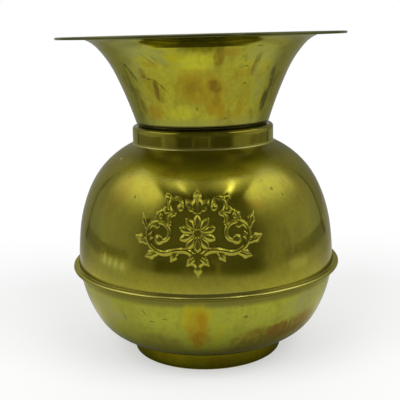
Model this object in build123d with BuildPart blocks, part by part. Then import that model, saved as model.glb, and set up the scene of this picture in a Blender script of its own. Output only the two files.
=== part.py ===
from build123d import *
import math
import os

# A brass spittoon. A round body of two spun halves is closed at its belly by a folded band and
# stands on a soldered foot ring. A trumpet mouth drops into the collar at the top of the body by
# a tapered spigot, and lifts out for emptying and washing.
# Millimetres, +Z up. The origin is the centre of the foot's underside, and the front faces -Y.
# Every shell is drawn as its outer line, gets its sheet inwards, and is turned about Z.

# Sheet
wall = 0.9                  # brass sheet of the mouth, the two halves and the band
foot_wall = 1.2             # heavier sheet of the foot ring

# Heights, each counted from the piece below it
foot_height = 15.2
lower_bowl_height = 61.8    # from the seat on the foot up to the seam
upper_bowl_height = 102.2   # from the seam up to the collar's base
collar_height = 14.6        # from its base to the top of its rolled lip
groove_height = 2.4         # the dark groove between the lip and the mouth's step
mouth_height = 70.8         # from the step to the top of the brim

# Radii to the outer surfaces
foot_radius = 63.4
base_radius = 61.4          # the flat underside of the lower bowl
belly_radius = 108.1
collar_radius = 58.85
step_radius = 55.3          # where the mouth's wall ends above the collar
rim_radius = 118.4

# Foot ring
foot_seat_width = 9.4       # turned-in top flange, soldered to the bowl
foot_edge_width = 4.4       # turned-in bottom edge, which stands on the table
foot_seat_bend = 1.6
foot_edge_bend = 2.4

# Seam at the belly
seam_flange_width = 3.3     # both halves turn out this far
seam_bend = 0.8
band_gap = 0.1              # from the flanges' edges to the round of the band
band_lap_gap = 0.5          # from the bowl's bend to the band's free edges

# Collar
crease_radius = 1.2
roll_radius = 2.8           # the lip is rolled inwards in a half circle
roll_skirt = 1.2            # and ends in a short straight edge

# Mouth
brim_width = 14.9           # the flat outer part of the flare
hem_width = 4.6             # the edge of the brim is folded under
fold_gap = 0.2
step_width = 1.7            # from the wall in to the spigot's root
step_drop = 0.6
step_bend = 1.2
spigot_depth = 12.6         # from its root to its lower edge
seat_clearance = 0.3        # between the spigot and the rolled lip
spigot_taper_share = 0.14   # radius lost for each length of height

# Where the outlines pass, as shares of the way in radius and of the way in height
lower_bowl_shares = [(0.243, 0.029), (0.717, 0.322)]    # from the base to the seam
upper_bowl_shares = [(0.955, 0.324), (0.768, 0.635)]    # radius from the collar to the belly
mouth_shares = [(0.472, 0.884), (0.247, 0.578)]         # from the step to the brim

# Levels that follow
seam_level = foot_height + lower_bowl_height
collar_base_level = seam_level + upper_bowl_height
lip_level = collar_base_level + collar_height
roll_level = lip_level - roll_radius
step_level = lip_level + groove_height
overall_height = step_level + mouth_height
brim_level = overall_height - wall

seam_flange_radius = belly_radius + seam_flange_width
lip_bore_radius = collar_radius - 2 * roll_radius


def between(shares, start, end):
    """A point part of the way from start to end, by its shares in radius and in height."""
    radius_share, height_share = shares
    return (
        start[0] + radius_share * (end[0] - start[0]),
        start[1] + height_share * (end[1] - start[1]),
    )


def spigot_radius(level):
    """The taper's radius, which clears the rolled lip by the seat's clearance at its middle."""
    return lip_bore_radius - seat_clearance + spigot_taper_share * (level - roll_level)


# Foot ring: a turned wall with a flange under the bowl and its lower edge turned in
with BuildPart() as foot_ring:
    with BuildSketch(Plane.XZ):
        with BuildLine() as foot_line:
            Polyline(
                (foot_radius - foot_seat_width, foot_height),
                (foot_radius, foot_height),
                (foot_radius, 0),
                (foot_radius - foot_edge_width, 0),
            )
            fillet(foot_line.vertices().sort_by_distance((foot_radius, foot_height))[0], foot_seat_bend)
            fillet(foot_line.vertices().sort_by_distance((foot_radius, 0))[0], foot_edge_bend)
            offset(amount=foot_wall, side=Side.RIGHT)
        make_face()
    revolve(axis=Axis.Z)
foot_ring.part.label = "foot_ring"

# Lower bowl: flat base, deep round side, and a flange turned out at the seam
with BuildPart() as lower_bowl:
    with BuildSketch(Plane.XZ):
        base_edge = (base_radius, foot_height)
        seam_corner = (belly_radius, seam_level - wall)
        knuckle, flank = [between(shares, base_edge, seam_corner) for shares in lower_bowl_shares]
        with BuildLine() as lower_line:
            base = Line((0, foot_height), base_edge)
            heel = TangentArc(base @ 1, knuckle, tangent=base % 1)
            side = TangentArc(heel @ 1, flank, tangent=heel % 1)
            waist = TangentArc(side @ 1, seam_corner, tangent=side % 1)
            Line(waist @ 1, (seam_flange_radius, seam_level - wall))
            fillet(lower_line.vertices().sort_by_distance(seam_corner)[0], seam_bend)
            offset(amount=wall, side=Side.LEFT)
        make_face()
    revolve(axis=Axis.Z)
lower_bowl.part.label = "lower_bowl"

# Upper bowl: flange on the seam, round shoulder, upright collar and a lip rolled inwards
with BuildPart() as upper_bowl:
    with BuildSketch(Plane.XZ):
        seam_corner = (belly_radius, seam_level + wall)
        collar_corner = (collar_radius, collar_base_level)
        belly_start = (collar_radius, seam_level)
        belly_end = (belly_radius, collar_base_level)
        upper_belly, shoulder = [between(shares, belly_start, belly_end) for shares in upper_bowl_shares]
        with BuildLine() as upper_line:
            Line((seam_flange_radius, seam_level + wall), seam_corner)
            belly = TangentArc(seam_corner, upper_belly, tangent=(0, 1))
            round_side = TangentArc(belly @ 1, shoulder, tangent=belly % 1)
            top = TangentArc(round_side @ 1, collar_corner, tangent=round_side % 1)
            neck = Line(top @ 1, (collar_radius, roll_level))
            roll = JernArc(neck @ 1, tangent=(0, 1), radius=roll_radius, arc_size=180)
            Line(roll @ 1, (lip_bore_radius, roll_level - roll_skirt))
            fillet(upper_line.vertices().sort_by_distance(seam_corner)[0], seam_bend)
            fillet(upper_line.vertices().sort_by_distance(collar_corner)[0], crease_radius)
            offset(amount=wall, side=Side.LEFT)
        make_face()
    revolve(axis=Axis.Z)
upper_bowl.part.label = "upper_bowl"

# Seam band: a strip folded round both flanges, tight above and below and half round outside
with BuildPart() as seam_band:
    band_round_radius = 2 * wall
    band_inner_radius = belly_radius + seam_bend + band_lap_gap
    band_round_start = seam_flange_radius + band_gap
    with BuildSketch(Plane.XZ):
        with BuildLine():
            upper_lap = Line(
                (band_inner_radius, seam_level + band_round_radius),
                (band_round_start, seam_level + band_round_radius),
            )
            fold = JernArc(upper_lap @ 1, tangent=(1, 0), radius=band_round_radius, arc_size=-180)
            Line(fold @ 1, (band_inner_radius, seam_level - band_round_radius))
            offset(amount=wall, side=Side.RIGHT)
        make_face()
    revolve(axis=Axis.Z)
seam_band.part.label = "seam_band"

# Mouth: a flat brim with a folded hem, a trumpet wall, a small step and a tapered spigot
with BuildPart() as mouth_funnel:
    step_corner = (step_radius, step_level)
    brim_edge = (rim_radius, brim_level)
    flare, throat = [between(shares, step_corner, brim_edge) for shares in mouth_shares]
    root_level = step_level - step_drop
    spigot_root = (step_radius - step_width, root_level)
    spigot_edge_level = root_level - spigot_depth
    hem_thickness = 2 * wall + fold_gap
    with BuildSketch(Plane.XZ):
        with BuildLine() as mouth_line:
            brim = Line((rim_radius - hem_thickness / 2, brim_level), (rim_radius - brim_width, brim_level))
            bell = TangentArc(brim @ 1, flare, tangent=brim % 1)
            trumpet = TangentArc(bell @ 1, throat, tangent=bell % 1)
            stem = TangentArc(trumpet @ 1, step_corner, tangent=trumpet % 1)
            Line(stem @ 1, spigot_root)
            Line(spigot_root, (spigot_radius(spigot_edge_level), spigot_edge_level))
            fillet(mouth_line.vertices().sort_by_distance(step_corner)[0], step_bend)
            offset(amount=wall, side=Side.RIGHT)
        make_face()
        with Locations((rim_radius - hem_width / 2, overall_height - hem_thickness / 2)):
            SlotOverall(hem_width, hem_thickness)
    revolve(axis=Axis.Z)
mouth_funnel.part.label = "mouth_funnel"

os.makedirs("parts", exist_ok=True)
export_step(foot_ring.part, "parts/foot_ring.step")
export_step(lower_bowl.part, "parts/lower_bowl.step")
export_step(upper_bowl.part, "parts/upper_bowl.step")
export_step(seam_band.part, "parts/seam_band.step")
export_step(mouth_funnel.part, "parts/mouth_funnel.step")
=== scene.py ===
import math

import bpy
import numpy as np
from mathutils import Matrix, Vector


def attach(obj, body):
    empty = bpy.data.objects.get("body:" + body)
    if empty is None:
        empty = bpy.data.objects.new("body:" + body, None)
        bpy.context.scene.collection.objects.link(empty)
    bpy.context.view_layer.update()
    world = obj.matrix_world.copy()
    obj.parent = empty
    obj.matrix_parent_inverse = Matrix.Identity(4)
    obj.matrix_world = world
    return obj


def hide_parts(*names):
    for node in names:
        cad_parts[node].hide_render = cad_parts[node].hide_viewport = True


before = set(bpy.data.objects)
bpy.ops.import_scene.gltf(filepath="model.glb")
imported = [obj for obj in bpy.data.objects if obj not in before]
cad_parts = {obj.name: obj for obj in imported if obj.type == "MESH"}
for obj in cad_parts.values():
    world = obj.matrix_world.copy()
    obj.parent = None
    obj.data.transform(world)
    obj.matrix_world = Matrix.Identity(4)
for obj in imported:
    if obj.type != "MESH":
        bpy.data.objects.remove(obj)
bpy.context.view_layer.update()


# Camera: it stood about two thirds of a metre in front of the spittoon, level with its brim,
# looked 12 degrees down and was tilted a little, so the spittoon leans to the left in the picture.
camera_distance = 0.6649
camera_height = 0.2693
camera_turn = math.radians(0.333)
camera_pitch = math.radians(90 - 12)
camera_tilt = math.radians(-1.42)

bpy.ops.object.camera_add()
camera = bpy.context.object
camera.name = "camera"
camera.data.lens = 71.5
camera.data.sensor_width = 36
camera.matrix_world = (
    Matrix.Translation((0, -camera_distance, camera_height))
    @ Matrix.Rotation(camera_turn, 4, "Z")
    @ Matrix.Rotation(camera_pitch, 4, "X")
    @ Matrix.Rotation(camera_tilt, 4, "Z")
)
bpy.context.scene.camera = camera
bpy.context.scene.view_settings.view_transform = "Standard"


# Studio: a white table top that ends just in front of the camera, a white background behind it,
# and round the front a dark room with a broad soft window on each side and two slim tubes high up.
class Wire:
    """A node's output that sums, products and powers can be written with."""

    def __init__(self, tree, socket):
        self.tree = tree
        self.socket = socket

    def add(self, kind, sockets=(), settings=(), output=0):
        """Adds a node of that type to this one's tree and gives one of its outputs."""
        node = self.tree.nodes.new(kind)
        for key, value in dict(settings).items():
            setattr(node, key, value)
        for key, value in dict(sockets).items():
            if isinstance(value, Wire):
                self.tree.links.new(value.socket, node.inputs[key])
            else:
                node.inputs[key].default_value = value
        return Wire(self.tree, node.outputs[output])

    def show(self):
        """Makes this shader the surface of its material or world."""
        output = next(node for node in self.tree.nodes if node.type.startswith("OUTPUT"))
        self.tree.links.new(self.socket, output.inputs["Surface"])

    def maths(self, operation, *others):
        """This value, with any others after it, put through that operation."""
        return self.add("ShaderNodeMath", enumerate((self, *others)), {"operation": operation})

    def __add__(self, other):
        return self.maths("ADD", other)

    __radd__ = __add__

    def __sub__(self, other):
        return self.maths("SUBTRACT", other)

    def __rsub__(self, other):
        return self.add("ShaderNodeMath", {0: other, 1: self}, {"operation": "SUBTRACT"})

    def __mul__(self, other):
        return self.maths("MULTIPLY", other)

    __rmul__ = __mul__

    def __truediv__(self, other):
        return self.maths("DIVIDE", other)

    def __pow__(self, other):
        return self.maths("POWER", other)

    def smooth(self, low, high, start=0.0, end=1.0):
        """Goes smoothly from start to end as this value goes from low to high."""
        limits = {"From Min": low, "From Max": high, "To Min": start, "To Max": end}
        return self.add("ShaderNodeMapRange", {"Value": self, **limits}, {"interpolation_type": "SMOOTHSTEP"})


def blank(owner, output="ShaderNodeOutputMaterial"):
    """A new material or world, emptied of all nodes but its output."""
    owner.use_nodes = True
    owner.node_tree.nodes.clear()
    owner.node_tree.nodes.new(output)
    return owner


def seen_directly(tree):
    """1 for rays from the camera, and for those that metal or glass sends on."""
    path = tree.nodes.new("ShaderNodeLightPath")
    seen = Wire(tree, path.outputs["Is Camera Ray"])
    for ray in ("Is Glossy Ray", "Is Transmission Ray"):
        seen = seen.maths("MAXIMUM", Wire(tree, path.outputs[ray]))
    return seen


world = blank(bpy.data.worlds.new("white background"), "ShaderNodeOutputWorld")
bpy.context.scene.world = world
ambient_level = 0.55
strength = ambient_level + (1 - ambient_level) * seen_directly(world.node_tree)
strength.add("ShaderNodeBackground", {"Color": (1, 1, 1, 1), "Strength": strength}).show()

bpy.ops.object.select_all(action="DESELECT")
bpy.ops.mesh.primitive_plane_add(size=9)
table = bpy.context.object
table.name = "table"
table_material = blank(bpy.data.materials.new("white table"))
direct = seen_directly(table_material.node_tree)
matt = direct.add("ShaderNodeBsdfDiffuse", {"Color": (0.55, 0.55, 0.55, 1)})
glow = direct.add("ShaderNodeEmission", {"Color": (1, 1, 1, 1), "Strength": 0.47 * direct})
direct.add("ShaderNodeAddShader", {0: matt, 1: glow}).show()
table.data.materials.append(table_material)

# The metal alone sees these two cards, which stand for the room around and the table below.
room_radius = 1.7
bpy.ops.object.select_all(action="DESELECT")
bpy.ops.mesh.primitive_uv_sphere_add(segments=96, ring_count=48, radius=room_radius, location=(0, 0, 0.12))
room = bpy.context.object
room.name = "dark_room"
bpy.ops.object.select_all(action="DESELECT")
bpy.ops.mesh.primitive_plane_add(size=3.2, location=(0, 0, 0.001))
table_shade = bpy.context.object
table_shade.name = "table_shade"
for card in (room, table_shade):
    card.visible_camera = False
    card.visible_diffuse = False
    card.visible_shadow = False


def place_on(tree):
    """Each point's place on its own object."""
    return Wire(tree, tree.nodes.new("ShaderNodeTexCoord").outputs["Object"])


def parts_of(place):
    """The sideways, backward and upward parts of a place."""
    split = place.add("ShaderNodeSeparateXYZ", {0: place}).socket.node
    return [Wire(place.tree, split.outputs[axis]) for axis in "XYZ"]


def turn_of(side, back):
    """How far round a place is from the middle of the front, positive to the right."""
    return side.maths("ARCTAN2", -1 * back)


def band(value, low, high, edge):
    """1 from low to high, with soft edges."""
    return value.smooth(low - edge, low + edge) * value.smooth(high + edge, high - edge)


def oval(across, up, centre, half_size, edge, lean=0.0):
    """1 inside an oval with a soft edge, whose long axis may lean."""
    over = across - centre[0]
    above = up - centre[1] - lean * over
    reach = ((over / half_size[0]) ** 2 + (above / half_size[1]) ** 2) ** 0.5
    return reach.smooth(1 + edge, 1 - edge)


# Directions in the room are in degrees: azimuth from the front to the right, aside to either side,
# and elevation up from the room's middle.
room_material = blank(bpy.data.materials.new("dark room"))
side, back, height = parts_of(place_on(room_material.node_tree))
azimuth = turn_of(side, back).maths("DEGREES")
aside = azimuth.maths("ABSOLUTE")
elevation = (height / room_radius).maths("ARCSINE").maths("DEGREES")

# The walls in front, the backdrop behind them, the dark corners between, and the ceiling
walls = elevation.smooth(45, 22, 0.15, 0.38) * aside.smooth(40, 84, 0.22, 1.0)
backdrop = elevation.smooth(50, 35, 0.13, 0.38) * elevation.smooth(0, 25, 0.9, 1.0)
backdrop = backdrop * azimuth.smooth(100, 140, 1.0, 0.7)
behind = aside.smooth(128, 129.5)
corner = band(aside, 126.5, 129.5, 0.6)
surround = (walls * (1 - behind) + backdrop * behind) * (1 - 0.75 * corner)
ceiling = 0.34 * elevation.smooth(50, 62) * aside.smooth(150, 70)

# A window on each side, whose level head looks curved from the middle of the room
window_head = 1.44 * (aside - 95).maths("RADIANS").maths("COSINE")
above_table = elevation.maths("RADIANS").maths("TANGENT")
window_light = elevation.smooth(16, 46, 0.08, 1.4) * (window_head - above_table).smooth(-0.07, 0.07)
windows = (band(azimuth, -115, -47, 10) + 1.05 * band(azimuth, 48, 113, 8)) * window_light

# A soft halo and a slim tube high up on each side
left_halo = 0.62 * oval(azimuth, elevation, (-50, 65), (26, 10), 0.9)
right_halo = 0.75 * oval(azimuth, elevation, (50, 64), (26, 11), 0.9)
left_tube = 2.4 * oval(azimuth, elevation, (-40, 62), (15, 2.3), 0.6, -0.5)
right_tube = 3.7 * oval(azimuth, elevation, (40, 57), (13, 2.9), 0.7, 0.6)
light = surround + ceiling + windows + left_halo + right_halo + left_tube + right_tube
light.add("ShaderNodeEmission", {"Color": light, "Strength": 1.0}).show()
room.data.materials.append(room_material)

# On the table reach is in metres: white paper lies round the spittoon, and past it is the floor.
shade_material = blank(bpy.data.materials.new("table shade"))
side, back, _ = parts_of(place_on(shade_material.node_tree))
azimuth = turn_of(side, back).maths("DEGREES")
aside = azimuth.maths("ABSOLUTE")
reach = (side * side + back * back) ** 0.5
# Painted shadow: the paper is darkest close round the spittoon, where its shadow falls; it also dims further
# out and behind.
paper_and_its_shadow = reach.smooth(0.25, 0.52, 0.94, 0.54) * reach.smooth(0.06, 0.15, 0.12, 1.0)
paper_and_its_shadow = paper_and_its_shadow * aside.smooth(95, 125, 1.0, 0.62)
past_paper = reach.smooth(0.60, 0.72).maths("MAXIMUM", (0.7 * side - back).smooth(0.65, 0.76))
floor = (
    0.21
    - 0.18 * band(azimuth, -43, 46, 5.0)
    + 0.22 * band(azimuth, 8.5, 11, 0.8)
    + 0.10 * band(azimuth, -17, -14.5, 0.8)
    + 0.14 * band(azimuth, -68, -62, 1.0)
    - 0.06 * band(azimuth, -91, -70, 2.0)
    + 0.10 * band(azimuth, 50, 80, 3.0)
    + 0.12 * aside.smooth(129, 133)
)
corner = band(aside, 125, 129, 1.0) * reach.smooth(0.62, 0.7)

# Low on the left a row of bright bars, and low on the right a pale patch
bar_spacing = 6.684
bars = 0.5 + 0.5 * (azimuth * (2 * math.pi / bar_spacing)).maths("SINE")
left_bars = (0.15 + 1.25 * bars) * band(azimuth, -97, -66, 2.0) * band(reach, 0.56, 0.79, 0.03)
right_patch = 0.32 * band(azimuth, 70, 90, 2.0) * band(reach, 0.48, 0.70, 0.03)
light = (paper_and_its_shadow * (1 - past_paper) + floor * past_paper) * (1 - 0.7 * corner) + left_bars + right_patch
light.add("ShaderNodeEmission", {"Color": light, "Strength": 1.0}).show()
table_shade.data.materials.append(shade_material)

# Two soft suns give the table its shadow.
for name, turn in (("left_lamp", 35), ("right_lamp", -35)):
    bpy.ops.object.light_add(type="SUN", rotation=(math.radians(30), math.radians(turn), 0))
    lamp = bpy.context.object
    lamp.name = name
    lamp.data.energy = 1.0
    lamp.data.angle = math.radians(40)
    lamp.visible_glossy = False


# Foot ring: a short ring of heavier brass sheet, turned in at the top where it is soldered to the
# bowl's base and at the bottom where it stands. It is the most evenly tarnished piece.
def darker(colour, share):
    """The same colour at that share of its brightness."""
    return tuple(share * value for value in colour)


class Brass:
    """The finish of one piece: polished brass, with tarnish, stains and wear laid over it.

    Places on it are in millimetres: across the unrolled piece from the middle of its front, up from
    the table, and from its axis. The radius, in metres, is where the unrolling is measured.
    """

    def __init__(self, name, clean, roughness, radius):
        self.material = blank(bpy.data.materials.new(name))
        self.place = place_on(self.material.node_tree)
        side, back, level = parts_of(self.place)
        self.across = turn_of(side, back) * (1000 * radius)
        self.up = 1000 * level
        self.from_axis = 1000 * (side * side + back * back) ** 0.5
        self.colour = (*clean, 1)
        self.roughness = roughness
        self.height = 0.0
        self.ragged_across = 2.4 * (self.noise(70, 6, roughness=0.62) - 0.5)
        self.ragged_up = 2.4 * (self.noise(70, 6, roughness=0.62, shift=5.0) - 0.5)
        self.grain = self.noise(240, 4, (1, 1, 0.3), shift=2.0).smooth(0.30, 0.62, 0.45, 1.1)

    def noise(self, scale, detail, stretch=(1, 1, 1), roughness=0.55, shift=0.0, turn=(0, 0, 0)):
        """Soft noise from 0 to 1, with about so many lumps to the metre."""
        mapped = self.place.add(
            "ShaderNodeMapping",
            {"Vector": self.place, "Location": (shift, shift, shift), "Rotation": turn, "Scale": stretch},
        )
        return self.place.add(
            "ShaderNodeTexNoise",
            {"Vector": mapped, "Scale": scale, "Detail": detail, "Roughness": roughness},
        )

    def tint(self, share, colour):
        """Lays a colour over what is there, fully where share is 1."""
        under, over, mixed = 6, 7, 2
        self.colour = self.place.add(
            "ShaderNodeMix",
            {"Factor": share, under: self.colour, over: (*colour, 1)},
            {"data_type": "RGBA", "clamp_factor": True},
            mixed,
        )

    def spot(self, across, up, half_width, half_height, lean=0.0, ragged=0.6, edge=0.5):
        """1 inside a ragged oval that moves sideways by lean for each millimetre up."""
        above = self.up - up
        over = self.across - across - lean * above + ragged * half_width * self.ragged_across
        above = above + ragged * half_height * self.ragged_up
        reach = ((over / half_width) ** 2 + (above / half_height) ** 2) ** 0.5
        return reach.smooth(1 + edge / 3, 1 - edge)

    def stain(self, colour, strength, across, up, half_width, half_height, lean=0.0):
        """A patch of another colour, broken up by the metal's grain."""
        spot = self.spot(across, up, half_width, half_height, lean)
        self.tint(spot * self.grain * strength, colour)

    def mark(self, colour, across, up, half_width, half_height, lean=0.0):
        """A small dark pit or scratch, pressed a little into the sheet."""
        spot = self.spot(across, up, half_width, half_height, lean, ragged=0.25)
        self.tint(spot * 0.85, colour)
        self.height = self.height - 0.00003 * spot

    def weather(self, dull, amber, dull_share, amber_share, blotch_share=0.3):
        """What age does to the whole piece: dull clouds, amber patches, mottling and specks."""
        self.clouds = self.noise(20, 6, roughness=0.6).smooth(0.38, 0.66)
        self.tint(self.clouds * dull_share, dull)
        patches = self.noise(26, 7, roughness=0.62, shift=3.0).smooth(0.54, 0.72)
        self.tint(patches * self.grain * amber_share, amber)
        blotches = self.noise(85, 5, (1, 1, 0.7), roughness=0.6, shift=8.0).smooth(0.50, 0.68)
        self.tint(blotches * blotch_share, darker(amber, 0.55))
        streaks = self.noise(55, 5, (1, 1, 0.16), shift=1.0).smooth(0.56, 0.74)
        self.tint(streaks * 0.22, dull)
        mottling = self.noise(330, 3, shift=4.0).smooth(0.42, 0.70)
        self.tint(mottling * 0.16, darker(dull, 0.5))
        specks = self.noise(300, 2, shift=6.0).smooth(0.735, 0.77)
        self.tint(specks * 0.6, darker(dull, 0.3))

    def finish(self, coat, wave, edge_tint):
        """The finished material, with the waves and scratches that show in reflections.

        The coat is the share of a thin clear layer over the metal, the wave is how far the sheet is
        from even, and the edge tint is the metal's colour seen edge on. Heights are in metres.
        """
        lines = self.noise(70, 3, (1, 1, 16)).smooth(0.58, 0.76)
        scratches = self.noise(120, 2, (1, 1, 22), turn=(0.7, 0.9, 0.4)).smooth(0.66, 0.76)
        fine = self.noise(420, 3)
        mottling = self.noise(190, 3)
        waves = self.noise(24, 2) * wave + self.noise(60, 1) * (0.18 * wave)
        height = (
            self.height
            + waves
            + 0.000006 * mottling
            + 0.0000016 * fine
            + 0.0000022 * lines
            - 0.000003 * scratches
        )
        rough = self.roughness + 0.05 * self.clouds + 0.04 * (mottling - 0.5) + 0.04 * lines
        bump = height.add("ShaderNodeBump", {"Strength": 1.0, "Distance": 1.0, "Height": height})
        looks = {
            "Base Color": self.colour,
            "Metallic": 0.91,
            "Roughness": rough,
            "Specular Tint": (*edge_tint, 1),
            "Normal": bump,
            "Coat Weight": coat,
            "Coat Roughness": 0.45 * rough,
        }
        bump.add("ShaderNodeBsdfPrincipled", looks).show()
        return self.material


def refinish(node, material):
    """Gives a piece of the frame its finish."""
    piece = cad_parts[node]
    piece.data.materials.clear()
    piece.data.materials.append(material)


foot_brass = Brass("foot brass", clean=(0.28, 0.25, 0.004), roughness=0.12, radius=0.0634)
foot_brass.weather(dull=(0.21, 0.185, 0.004), amber=(0.28, 0.19, 0.003), dull_share=0.7, amber_share=0.4)
for stain in (
    ((0.38, 0.32, 0.003), 0.70, -34.0, 8.0, 20.0, 6.0),
    ((0.34, 0.28, 0.003), 0.60, 48.0, 9.0, 18.0, 5.0),
    ((0.20, 0.12, 0.003), 0.50, 8.0, 6.0, 12.0, 6.0),
    ((0.20, 0.13, 0.003), 0.50, 120.0, 8.0, 26.0, 5.0),
    ((0.36, 0.30, 0.003), 0.50, -130.0, 8.0, 22.0, 6.0),
):
    foot_brass.stain(*stain)
# Painted shade: the foot is darkened along its bottom edge, where it stands on the table, and at its top,
# under the bowl's overhang.
shaded_bottom_edge = foot_brass.up.smooth(6, 1)
foot_brass.tint(shaded_bottom_edge * 0.5, (0.10, 0.10, 0.003))
shade_under_bowl = foot_brass.up.smooth(12.5, 15)
foot_brass.tint(shade_under_bowl * 0.6, (0.09, 0.085, 0.004))
refinish("foot_ring", foot_brass.finish(coat=0.08, wave=0.00004, edge_tint=(0.78, 0.74, 0.30)))


# Lower bowl: the spun lower half of the body. Its outside shines back the white table, with an
# orange stain down the front and a reddish one low on the right.
lower_brass = Brass("lower bowl brass", clean=(0.31, 0.325, 0.026), roughness=0.12, radius=0.1)
lower_brass.weather(dull=(0.24, 0.245, 0.028), amber=(0.31, 0.26, 0.012), dull_share=0.6, amber_share=0.3)
# Painted shade: a dark band just under the seam band, where its shadow falls, and darkening low down towards
# the foot.
shadow_below_seam = lower_brass.up.smooth(66.5, 71.8)
lower_brass.tint(shadow_below_seam * 0.9, (0.13, 0.12, 0.018))
shade_above_foot = lower_brass.up.smooth(34, 22)
lower_brass.tint(shade_above_foot * 0.6, (0.14, 0.12, 0.012))
orange, rust, haze = (0.31, 0.19, 0.003), (0.17, 0.088, 0.008), (0.255, 0.24, 0.085)
for stain in (
    (haze, 0.70, -92.0, 56.0, 24.0, 17.0),
    (haze, 0.70, 86.0, 59.0, 28.0, 14.0, 0.1),
    ((0.36, 0.32, 0.006), 0.80, -8.0, 60.0, 12.0, 13.0),
    (orange, 0.90, -7.5, 50.0, 9.5, 20.0, 0.02),
    ((0.27, 0.16, 0.003), 0.55, -3.5, 57.0, 4.0, 6.0),
    ((0.26, 0.15, 0.003), 0.70, -5.5, 41.0, 7.5, 8.0),
    ((0.32, 0.31, 0.010), 0.55, 8.0, 42.0, 5.0, 18.0, 0.1),
    ((0.20, 0.15, 0.008), 0.95, 48.0, 38.5, 28.0, 10.5),
    (rust, 1.00, 74.0, 39.5, 34.0, 10.5),
    ((0.20, 0.10, 0.010), 0.85, 94.0, 46.0, 13.0, 8.0),
    ((0.15, 0.12, 0.012), 0.85, 40.0, 31.5, 30.0, 8.5),
    ((0.18, 0.16, 0.020), 0.65, -40.0, 35.0, 24.0, 9.0),
    ((0.24, 0.24, 0.020), 0.50, -60.0, 56.0, 4.0, 14.0, 0.2),
):
    lower_brass.stain(*stain)
for pit in (
    (28.0, 59.1, 1.9, 1.6),
    (24.5, 69.0, 1.1, 0.8),
    (-42.0, 54.7, 2.6, 0.7),
    (-66.0, 54.3, 1.0, 2.4, -0.4),
    (-47.0, 62.0, 0.8, 3.0, -0.8),
    (-31.0, 58.0, 2.4, 0.5, 0.2),
):
    lower_brass.mark((0.12, 0.12, 0.010), *pit)
refinish("lower_bowl", lower_brass.finish(coat=0.08, wave=0.00010, edge_tint=(0.80, 0.78, 0.50)))


# Upper bowl: the spun upper half with its upright collar, whose lip is rolled inwards. A flower
# between two leafy scrolls is pressed out of the sheet on the front.
def start_outline(name, radius, level):
    """A new piece in edit mode that is a single corner of its outline."""
    bpy.ops.object.select_all(action="DESELECT")
    bpy.ops.mesh.primitive_plane_add(size=0.001, location=(radius, 0, level))
    piece = bpy.context.object
    piece.name = piece.data.name = name
    bpy.ops.object.transform_apply()
    bpy.ops.object.mode_set(mode="EDIT")
    bpy.ops.mesh.merge(type="CENTER")
    return Vector((radius, level))


def line_to(here, radius, level, steps=1):
    """Draws a straight run from here, the outline's last corner."""
    for step in range(steps):
        bpy.ops.mesh.extrude_vertices_move(
            TRANSFORM_OT_translate={
                "value": ((radius - here.x) / steps, 0, (level - here.y) / steps)
            }
        )
    return Vector((radius, level))


def arc_by(here, heading, radius, turn, steps):
    """Draws an arc from here that starts along heading and turns left by turn."""
    sign = math.copysign(1, turn)
    centre = here + Vector((-heading.y, heading.x)) * radius * sign
    bpy.ops.mesh.spin(
        steps=steps, angle=abs(turn), center=(centre.x, 0, centre.y), axis=(0, sign, 0)
    )
    spun = Matrix.Rotation(turn, 2)
    return centre + spun @ (here - centre), spun @ heading


def arc_to(here, heading, radius, level, steps):
    """Draws the arc from here that starts along heading and ends at that radius and level."""
    chord = Vector((radius, level)) - here
    turn = 2 * math.atan2(heading.x * chord.y - heading.y * chord.x, heading.dot(chord))
    return arc_by(here, heading, abs(chord.length / 2 / math.sin(turn / 2)), turn, steps)


# The outline's sizes and levels, in metres
wall = 0.0009
flange_edge = 0.1114
flange_level = 0.0779
belly_radius = 0.1081
seam_bend = 0.0008
collar_radius = 0.05885
crease_radius = 0.0012
roll_radius = 0.0028
roll_level = 0.1910
skirt_level = 0.1898
# Where the outer line's arcs end, and the steps that each takes on the outside and the inside
arc_ends = (
    (0.10588, 0.11011, 50, 14),
    (0.09667, 0.14190, 58, 14),
    (0.05952, 0.17887, 60, 18),
)
here = start_outline("upper_body", flange_edge, flange_level)
here = line_to(here, belly_radius + seam_bend, flange_level, 2)
here, heading = arc_by(here, Vector((-1, 0)), seam_bend, math.radians(-90), 4)
arc_starts = []
for radius, level, steps, inner_steps in arc_ends:
    arc_starts.append((here, heading, inner_steps))
    here, heading = arc_to(here, heading, radius, level, steps)
slope = math.atan2(-heading.x, heading.y)
shoulder_end = here + Vector((-heading.y, heading.x)) * wall
here, heading = arc_by(here, heading, crease_radius, -slope, 6)
here = line_to(here, collar_radius, roll_level, 5)
here, heading = arc_by(here, Vector((0, 1)), roll_radius, math.radians(180), 16)
here = line_to(here, here.x, skirt_level)
here = line_to(here, here.x + wall, skirt_level)
here = line_to(here, here.x, roll_level)
here, heading = arc_by(here, Vector((0, 1)), roll_radius - wall, math.radians(-180), 12)
here = line_to(here, here.x, shoulder_end.y + (crease_radius + wall) * math.sin(slope), 3)
here, heading = arc_by(here, Vector((0, -1)), crease_radius + wall, slope, 5)
for start, along, inner_steps in reversed(arc_starts):
    inside = start + Vector((-along.y, along.x)) * wall
    here, heading = arc_to(here, heading, inside.x, inside.y, inner_steps)
here, heading = arc_by(here, Vector((0, -1)), seam_bend + wall, math.radians(90), 4)
here = line_to(here, flange_edge, flange_level - wall)
line_to(here, flange_edge, flange_level)

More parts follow.
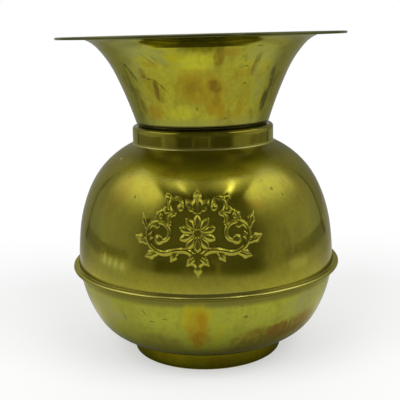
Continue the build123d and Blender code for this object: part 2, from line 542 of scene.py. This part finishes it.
# The outline is turned in three sweeps, with the closest steps across the ornament.
ornament_turn = math.radians(-3.2)
ornament_sweep = math.radians(62)
side_sweep = math.radians(90) - ornament_turn - ornament_sweep / 2
bpy.ops.mesh.select_all(action="SELECT")
for sweep, steps in (
    (side_sweep, 24),
    (ornament_sweep, 212),
    (math.radians(360) - side_sweep - ornament_sweep, 86),
):
    bpy.ops.mesh.spin(steps=steps, angle=sweep, center=(0, 0, 0), axis=(0, 0, 1))
bpy.ops.mesh.select_all(action="SELECT")
bpy.ops.mesh.remove_doubles(threshold=0.00001)
bpy.ops.mesh.normals_make_consistent(inside=False)
bpy.ops.object.mode_set(mode="OBJECT")
upper_body = bpy.context.object

# The ornament is laid out flat in millimetres: across from its middle, and up along the sheet,
# whose length is measured on one column of the outer side's corners.
ornament_level = 0.1245
ornament_height = 0.0015
lowest, highest = 0.085, 0.165
points = np.array([vertex.co for vertex in upper_body.data.vertices])
normals = np.array([vertex.normal for vertex in upper_body.data.vertices])
radii = np.hypot(points[:, 0], points[:, 1])
turns = np.arctan2(points[:, 0], -points[:, 1])
outside = (points * normals)[:, :2].sum(axis=1) > 0
outside &= (points[:, 2] > lowest) & (points[:, 2] < highest)
outside &= abs(turns - ornament_turn) < ornament_sweep / 2
column = np.flatnonzero(outside & (abs(turns - turns[outside][0]) < 0.0001))
column = column[np.argsort(points[column, 2])]
runs = np.hypot(np.diff(radii[column]), np.diff(points[column, 2]))
lengths = np.concatenate([[0], np.cumsum(runs)])
middle = np.interp(ornament_level, points[column, 2], lengths)
flat_across = 1000 * (turns - ornament_turn)[outside] * radii[outside]
flat_up = 1000 * (np.interp(points[outside, 2], points[column, 2], lengths) - middle)


def leaf(foot, angle, length, width, lobes=0, broadest=0.42, rib=0.5):
    """Height and outside distance of a leaf with a grooved midrib and, if asked, lobed edges."""
    turn = math.radians(angle)
    over, above = flat_across - foot[0], flat_up - foot[1]
    along = over * math.cos(turn) + above * math.sin(turn)
    beside = abs(above * math.cos(turn) - over * math.sin(turn))
    share = np.clip(along / length, 0, 1)
    half = width / 2 * np.sin(math.pi * share ** (math.log(0.5) / math.log(broadest)))
    if lobes:
        half = half * (0.86 + 0.2 * np.cos(2 * math.pi * lobes * (share - 0.08)))
    height = np.clip(1 - (beside / np.maximum(half, 0.05)) ** 2, 0, 1) ** 0.8
    height *= (1 - rib * np.exp(-((beside / 0.55) ** 2))) * (0.7 + 0.3 * np.sin(math.pi * share))
    apart = np.hypot(np.maximum(beside - half, 0), along - length * share)
    return height * (apart < 0.01), apart


def stem(path, start_width, end_width):
    """Height and outside distance of a rounded stem that tapers along its path."""
    height, apart = np.zeros_like(flat_up), np.full_like(flat_up, 99.0)
    for index, (first, last) in enumerate(zip(path[:-1], path[1:])):
        run = last - first
        over, above = flat_across - first[0], flat_up - first[1]
        share = np.clip((over * run[0] + above * run[1]) / (run @ run), 0, 1)
        away = np.hypot(over - share * run[0], above - share * run[1])
        half = (start_width + (end_width - start_width) * index / len(path)) / 2
        height = np.maximum(height, np.clip(1 - (away / half) ** 2, 0, 1))
        apart = np.minimum(apart, np.maximum(away - half, 0))
    return 0.85 * height, apart


def button(centre, radius):
    """Height and outside distance of a round boss."""
    away = np.hypot(flat_across - centre[0], flat_up - centre[1])
    return np.sqrt(np.clip(1 - (away / radius) ** 2, 0, 1)), np.maximum(away - radius, 0)


def spiral(eye, start_radius, start_angle, end_angle, tightness):
    """Points of a scroll that winds in towards its eye."""
    sweep = np.radians(np.linspace(start_angle, end_angle, 64))
    reach = start_radius * np.exp(-tightness * (sweep - sweep[0]))
    return np.array(eye) + reach[:, None] * np.stack([np.cos(sweep), np.sin(sweep)], axis=1)


def bend_to(start, first_pull, second_pull, end):
    """Points of a smooth bend between two places, drawn towards two others on its way."""
    share = np.linspace(0, 1, 13)[:-1, None]
    start, first_pull, second_pull, end = map(np.array, (start, first_pull, second_pull, end))
    first_part = (1 - share) ** 3 * start + 3 * (1 - share) ** 2 * share * first_pull
    return first_part + 3 * (1 - share) * share**2 * second_pull + share**3 * end


# A flower, a sprig above and a sprig below, and on each side two scrolls with their leaves.
motifs = [button((0, 0), 3.6)]
motifs += [leaf((0, 0), 90 + 36 * petal, 14.0, 5.6, broadest=0.66, rib=0) for petal in range(10)]
for angle, length, width in ((90, 18, 8.5), (48, 13.5, 7), (132, 13.5, 7)):
    motifs.append(leaf((0, 15), angle, length, width, lobes=3))
for angle, length, width in ((270, 18, 8), (228, 13, 6.5), (312, 13, 6.5)):
    motifs.append(leaf((0, -14), angle, length, width, lobes=3))
for side in (-1, 1):
    main = spiral((27.5, -0.5), 14.5, -105, 290, 0.16)
    main = np.concatenate([bend_to((2.5, -17.5), (7.0, -9.5), (14.5, -12.0), main[0]), main])
    upper = spiral((15.0, 21.0), 6.8, -75, 215, 0.14)
    upper = np.concatenate([bend_to((20.5, 7.0), (22.0, 12.5), (20.0, 13.6), upper[0]), upper])
    motifs.append(stem(main * (side, 1), 4.0, 2.2))
    motifs.append(stem(upper * (side, 1), 3.0, 2.0))
    motifs.append(button(main[-1] * (side, 1), 3.4))
    motifs.append(button(upper[-1] * (side, 1), 2.4))
    for path, index, bend, length in (
        (main, 8, -46, 10),
        (main, 16, -44, 12),
        (main, 23, -46, 13),
        (main, 31, -48, 13),
        (main, 39, -48, 11),
        (main, 24, 44, 8),
        (main, 36, 46, 7),
        (upper, 18, -50, 8),
        (upper, 32, -50, 8),
    ):
        foot, run = path[index], path[index + 1] - path[index]
        angle = math.degrees(math.atan2(run[1], run[0])) + bend
        angle = angle if side > 0 else 180 - angle
        motifs.append(leaf(foot * (side, 1), angle, length, 0.5 * length + 0.8, lobes=2))
pressed = np.max([height for height, apart in motifs], axis=0)
shade_reach = 1.3
ground = np.exp(-((np.min([apart for height, apart in motifs], axis=0) / shade_reach) ** 2))

# The relief is 1 on the ornament's tops, and falls below 0 on the ground close round it, where it only
# darkens the colour as painted shade and dirt.
relief = np.zeros(len(points), np.float32)
relief[outside] = np.where(pressed > 0, pressed, -ground)
upper_body.data.attributes.new("relief", "FLOAT", "POINT").data.foreach_set("value", relief)
group = upper_body.vertex_groups.new(name="pressed out")
for index in np.flatnonzero(relief > 0):
    group.add([int(index)], float(relief[index]), "REPLACE")
press = upper_body.modifiers.new("press", "DISPLACE")
press.vertex_group = group.name
press.strength = ornament_height
press.mid_level = 0
bpy.ops.object.modifier_apply(modifier=press.name)
bpy.ops.object.shade_smooth()

upper_brass = Brass("upper bowl brass", clean=(0.345, 0.31, 0.014), roughness=0.12, radius=0.1)
upper_brass.weather(
    dull=(0.26, 0.24, 0.016), amber=(0.36, 0.26, 0.008), dull_share=0.55, amber_share=0.35
)
amber, umber, moss = (0.34, 0.22, 0.004), (0.20, 0.12, 0.005), (0.22, 0.25, 0.030)
for stain in (
    (amber, 0.45, -74.0, 152.0, 9.0, 12.0),
    (amber, 0.35, -83.0, 140.0, 8.0, 10.0),
    (umber, 0.45, -30.0, 166.0, 10.0, 4.0),
    (umber, 0.45, 34.0, 165.0, 12.0, 4.0),
    (amber, 0.45, 38.0, 142.0, 14.0, 4.5),
    (amber, 0.30, 90.0, 146.0, 8.0, 14.0),
    (moss, 0.40, -75.0, 92.0, 16.0, 9.0),
    (moss, 0.35, 100.0, 118.0, 10.0, 22.0),
    (moss, 0.30, -100.0, 118.0, 10.0, 22.0),
    (umber, 0.30, -46.0, 115.0, 3.0, 18.0),
    (umber, 0.30, 62.0, 112.0, 4.0, 16.0),
):
    upper_brass.stain(*stain)
for pit in (
    (-59.5, 147.8, 1.1, 1.3),
    (59.0, 151.7, 1.8, 1.5),
    (52.0, 158.0, 0.7, 0.7),
    (68.0, 146.5, 0.8, 0.9),
    (-84.0, 104.0, 0.8, 1.6, 0.3),
    (-62.0, 108.0, 0.8, 1.2),
    (70.0, 104.0, 0.8, 2.2, 0.2),
    (-110.0, 157.5, 0.8, 0.8),
    (146.0, 130.0, 1.2, 3.0, 0.5),
    (-170.0, 140.0, 1.4, 1.0),
    (230.0, 120.0, 1.0, 4.0, -0.4),
    (-250.0, 110.0, 1.6, 1.2),
):
    upper_brass.mark((0.12, 0.10, 0.008), *pit)
# A nick: a small dent, with its glint painted in as a pale colour.
dent_and_glint = upper_brass.spot(-110.6, 170.2, 1.7, 1.1, ragged=0.3, edge=0.9)
upper_brass.tint(dent_and_glint, (0.9, 0.85, 0.55))
upper_brass.height = upper_brass.height - 0.0004 * dent_and_glint
# Painted shade: the shoulder just under the collar is darkened, most of all a little to each side of the
# front.
shade_under_collar = upper_brass.up.smooth(168, 175) * upper_brass.up.smooth(179.6, 179.0)
beside = upper_brass.across.maths("ABSOLUTE")
upper_brass.tint(shade_under_collar * (0.35 + 0.4 * band(beside, 34, 52, 8)), (0.07, 0.065, 0.006))
# Painted highlight: a pale line along the crease at the foot of the collar.
highlight_in_crease = band(upper_brass.up, 179.1, 180.2, 0.3)
upper_brass.tint(highlight_in_crease * 0.9, (0.60, 0.56, 0.17))
# Painted highlight: a pale band just above the seam band.
highlight_above_seam = upper_brass.up.smooth(80.8, 79.2)
upper_brass.tint(highlight_above_seam * 0.8, (0.60, 0.56, 0.16))
# Painted shade: the top of the rolled lip is darkened.
shade_on_lip = upper_brass.up.smooth(191.3, 192.8)
upper_brass.tint(shade_on_lip * 0.45, (0.13, 0.12, 0.012))

# Polish doesn't reach the shoulder under the collar, and the collar itself is the brightest.
collar = upper_brass.up.smooth(180.5, 182)
dull = upper_brass.up.smooth(154, 165) * (1 - collar)
upper_brass.roughness = 0.12 + 0.17 * dull - 0.04 * collar
relief_shade_and_highlight = upper_brass.place.add(
    "ShaderNodeAttribute", settings={"attribute_name": "relief"}, output="Fac"
)
# Painted shade and dirt on the ground close round the ornament, and a painted highlight on its tops.
upper_brass.tint(relief_shade_and_highlight.smooth(0.0, -0.9) * 0.3, (0.16, 0.145, 0.010))
upper_brass.tint(relief_shade_and_highlight.smooth(0.35, 0.95) * 0.35, (0.42, 0.39, 0.04))
upper_finish = upper_brass.finish(coat=0.42, wave=0.00011, edge_tint=(0.82, 0.79, 0.46))
upper_body.data.materials.append(upper_finish)
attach(upper_body, "vessel")
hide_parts("upper_bowl")


# Seam band: a brass strip folded round the flanges of both bowls, which shows as the round ring
# at the belly. Its lower half is darkened with painted shade, with a painted highlight along its top
# and a painted reflection along its underside.
band_brass = Brass("seam band brass", clean=(0.30, 0.27, 0.014), roughness=0.14, radius=0.1115)
band_brass.weather(dull=(0.17, 0.15, 0.010), amber=(0.26, 0.19, 0.008), dull_share=0.6, amber_share=0.3)
# Painted shade on the lower half, a painted highlight along the top and a painted reflection on the
# underside.
shaded_lower_half = band_brass.up.smooth(77.6, 76.2)
band_brass.tint(shaded_lower_half * 0.9, (0.09, 0.082, 0.006))
highlight_on_top = band_brass.up.smooth(77.3, 77.9)
band_brass.tint(highlight_on_top * 0.8, (0.55, 0.52, 0.14))
reflection_on_underside = band_brass.up.smooth(75.3, 74.7)
band_brass.tint(reflection_on_underside * 0.8, (0.50, 0.47, 0.12))
refinish("seam_band", band_brass.finish(coat=0.1, wave=0.00003, edge_tint=(0.80, 0.77, 0.40)))


# Mouth: the spun trumpet with its flat brim, folded hem, small step and spigot. It is the most
# stained piece: amber clouds in the middle, dark streaks left and right, and a few black specks.
mouth_brass = Brass("mouth brass", clean=(0.37, 0.35, 0.017), roughness=0.09, radius=0.0667)
mouth_brass.weather(
    dull=(0.25, 0.24, 0.020),
    amber=(0.28, 0.20, 0.004),
    dull_share=0.6,
    amber_share=0.75,
    blotch_share=0.5,
)
amber, umber, soot = (0.30, 0.20, 0.002), (0.18, 0.11, 0.002), (0.11, 0.10, 0.004)
yellow, moss = (0.46, 0.445, 0.016), (0.25, 0.27, 0.055)
for stain in (
    (moss, 0.85, -43.0, 257.0, 18.0, 7.0),
    (moss, 0.60, -27.0, 251.0, 9.0, 7.0),
    (moss, 0.50, -52.0, 243.0, 9.0, 13.0),
    (moss, 0.50, 47.0, 226.0, 6.0, 12.0),
    (moss, 0.55, 40.0, 253.0, 14.0, 8.0),
    (moss, 0.45, 58.0, 244.0, 8.0, 14.0),
    (yellow, 0.75, -2.5, 247.0, 14.0, 9.0),
    (yellow, 0.45, -16.0, 208.0, 16.0, 6.0),
    ((0.36, 0.33, 0.003), 0.90, -17.3, 250.6, 9.0, 4.0),
    ((0.20, 0.15, 0.002), 1.00, 10.7, 250.0, 4.2, 10.0, 0.05),
    (amber, 0.50, 19.0, 254.0, 8.0, 4.0),
    ((0.27, 0.20, 0.003), 0.90, -8.4, 227.0, 16.0, 12.0),
    (amber, 0.55, -6.0, 238.0, 14.0, 5.0),
    ((0.22, 0.15, 0.002), 0.75, -7.5, 227.0, 7.0, 6.0),
    (amber, 0.85, 9.3, 228.0, 9.0, 12.0),
    (umber, 1.00, 9.0, 228.0, 6.0, 8.0),
    (amber, 0.85, 11.8, 212.0, 8.0, 7.5),
    (umber, 0.45, 11.0, 218.0, 4.0, 5.0),
    (amber, 0.60, 0.0, 218.0, 8.0, 4.5),
    ((0.28, 0.24, 0.008), 0.70, 34.0, 223.0, 8.0, 9.0),
    (amber, 0.50, 33.0, 212.0, 5.0, 7.0),
    ((0.17, 0.135, 0.005), 0.95, 38.2, 244.0, 3.0, 10.0, 0.05),
    (moss, 0.50, 41.0, 240.0, 4.0, 7.0),
    ((0.20, 0.14, 0.005), 1.00, -45.2, 238.8, 3.8, 4.8, -0.2),
    (umber, 0.90, -44.6, 236.6, 2.0, 1.9),
    (amber, 0.60, -36.0, 246.0, 7.0, 3.0, -0.3),
    ((0.25, 0.19, 0.004), 0.70, -38.0, 228.0, 8.0, 9.0, -0.3),
    ((0.14, 0.095, 0.003), 1.00, -36.8, 226.5, 3.1, 8.5, 0.06),
    ((0.12, 0.10, 0.004), 0.95, -32.2, 230.0, 1.2, 6.0, -0.9),
    (amber, 0.90, -43.5, 209.0, 9.0, 6.5),
    ((0.20, 0.16, 0.006), 0.85, -57.5, 214.0, 4.0, 8.0, -0.1),
    (soot, 0.90, -40.6, 234.6, 3.4, 0.8),
    (soot, 1.00, -59.4, 244.8, 1.7, 1.7),
    (soot, 0.75, -55.4, 238.0, 1.7, 6.0, -0.5),
    (soot, 0.65, -35.0, 249.0, 0.6, 5.0, -0.9),
    (soot, 0.55, -30.5, 250.0, 0.6, 4.5, -0.9),
    (soot, 0.50, -64.0, 226.0, 3.0, 20.0, 0.05),
    (soot, 0.90, 61.0, 232.0, 3.6, 13.0, -0.15),
    ((0.08, 0.08, 0.005), 0.95, 59.0, 215.0, 4.6, 11.0, 0.1),
    (soot, 0.80, 67.0, 228.0, 1.4, 13.0, -0.1),
    (umber, 0.50, 130.0, 232.0, 7.0, 12.0, 0.2),
    (amber, 0.60, 150.0, 222.0, 12.0, 9.0),
    (soot, 0.60, 118.0, 226.0, 1.6, 12.0, -0.3),
    (amber, 0.60, -128.0, 226.0, 14.0, 9.0),
    (umber, 0.60, -140.0, 215.0, 5.0, 10.0, 0.1),
    (soot, 0.60, -165.0, 235.0, 2.0, 9.0, 0.4),
    (amber, 0.50, 195.0, 240.0, 10.0, 6.0),
):
    mouth_brass.stain(*stain)
for pit in (
    (28.6, 242.6, 0.6, 1.0, 1.2),
    (30.6, 243.4, 1.6, 0.45),
    (32.4, 243.0, 0.5, 0.9, -0.8),
    (33.0, 230.1, 1.1, 0.9),
    (-4.3, 211.4, 0.9, 1.6),
    (20.5, 203.4, 1.5, 0.9),
    (17.5, 202.6, 0.8, 0.6),
    (36.0, 258.0, 2.4, 0.5),
    (-59.6, 244.6, 1.3, 1.1),
    (90.0, 225.0, 0.9, 1.8),
    (-100.0, 238.0, 1.0, 1.0),
    (160.0, 244.0, 1.4, 0.8),
):
    mouth_brass.mark((0.09, 0.085, 0.006), *pit)
above_step = mouth_brass.up.smooth(206, 199)
mouth_brass.tint(above_step * 0.5, (0.24, 0.25, 0.050))
# Painted shade: the groove between the step and the collar's lip is painted almost black.
shade_in_groove = band(mouth_brass.up, 193.6, 197.6, 0.6)
mouth_brass.tint(shade_in_groove * 0.9, (0.03, 0.028, 0.003))
brim = mouth_brass.from_axis.smooth(104, 114)
mouth_brass.tint(brim * 0.8, (0.10, 0.105, 0.022))
hem = mouth_brass.from_axis.smooth(112, 117)
mouth_brass.tint(hem * 0.5, (0.05, 0.055, 0.020))
refinish("mouth_funnel", mouth_brass.finish(coat=0.15, wave=0.00010, edge_tint=(0.90, 0.89, 0.62)))
